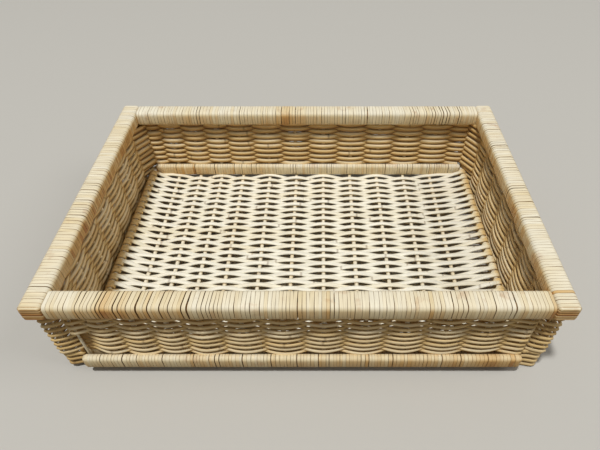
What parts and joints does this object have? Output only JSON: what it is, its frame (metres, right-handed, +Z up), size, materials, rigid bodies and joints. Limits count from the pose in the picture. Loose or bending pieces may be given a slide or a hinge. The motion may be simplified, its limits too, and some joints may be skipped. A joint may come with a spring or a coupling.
{
  "type": "cane basket",
  "caption": "Rectangular open tray-basket of woven cane with a peel-wrapped rim and wrapped base rails, for holding and carrying small goods.",
  "frame": {"origin": "on the ground under the middle of the basket", "axes": "+X along the long side, to the right seen from the front; +Y to the back; +Z up"},
  "size_m": [0.45, 0.3, 0.104],
  "materials": {
    "rim_peel": "satin cream cane peel in close turns",
    "base_peel": "satin golden cane peel in close turns",
    "split_rail": "plain split cane",
    "stake_cane": "peeled round cane",
    "wall_cane": "peeled round cane, woven",
    "floor_cane": "pale peeled round cane, woven"
  },
  "bodies": {
    "root": {"rim_front_outer_rail": "split_rail", "rim_front_inner_rail": "split_rail", "rim_front_wrap": "rim_peel", "rim_back_outer_rail": "split_rail", "rim_back_inner_rail": "split_rail", "rim_back_wrap": "rim_peel", "rim_left_outer_rail": "split_rail", "rim_left_inner_rail": "split_rail", "rim_left_wrap": "rim_peel", "rim_right_outer_rail": "split_rail", "rim_right_inner_rail": "split_rail", "rim_right_wrap": "rim_peel", "base_front_outer_rail": "split_rail", "base_front_outer_wrap": "base_peel", "base_front_inner_rail": "split_rail", "base_front_inner_wrap": "base_peel", "base_back_outer_rail": "split_rail", "base_back_outer_wrap": "base_peel", "base_back_inner_rail": "split_rail", "base_back_inner_wrap": "base_peel", "floor_stake_01": "stake_cane", "floor_stake_02": "stake_cane", "floor_stake_03": "stake_cane", "floor_stake_04": "stake_cane", "floor_stake_05": "stake_cane", "floor_stake_06": "stake_cane", "floor_stake_07": "stake_cane", "floor_stake_08": "stake_cane", "floor_stake_09": "stake_cane", "floor_stake_10": "stake_cane", "floor_stake_11": "stake_cane", "corner_stake_front_left": "stake_cane", "corner_post_front_left": "stake_cane", "corner_stake_front_right": "stake_cane", "corner_post_front_right": "stake_cane", "corner_stake_back_left": "stake_cane", "corner_post_back_left": "stake_cane", "corner_stake_back_right": "stake_cane", "corner_post_back_right": "stake_cane", "side_stake_left_01": "stake_cane", "side_stake_left_02": "stake_cane", "side_stake_left_03": "stake_cane", "side_stake_left_04": "stake_cane", "side_stake_left_05": "stake_cane", "side_stake_left_06": "stake_cane", "side_stake_left_07": "stake_cane", "side_rod_left": "stake_cane", "side_weaver_left": "wall_cane", "side_stake_right_01": "stake_cane", "side_stake_right_02": "stake_cane", "side_stake_right_03": "stake_cane", "side_stake_right_04": "stake_cane", "side_stake_right_05": "stake_cane", "side_stake_right_06": "stake_cane", "side_stake_right_07": "stake_cane", "side_rod_right": "stake_cane", "side_weaver_right": "wall_cane", "wall_weaver_01": "wall_cane", "wall_weaver_02": "wall_cane", "floor_weaver": "floor_cane"}
  },
  "joints": []
}
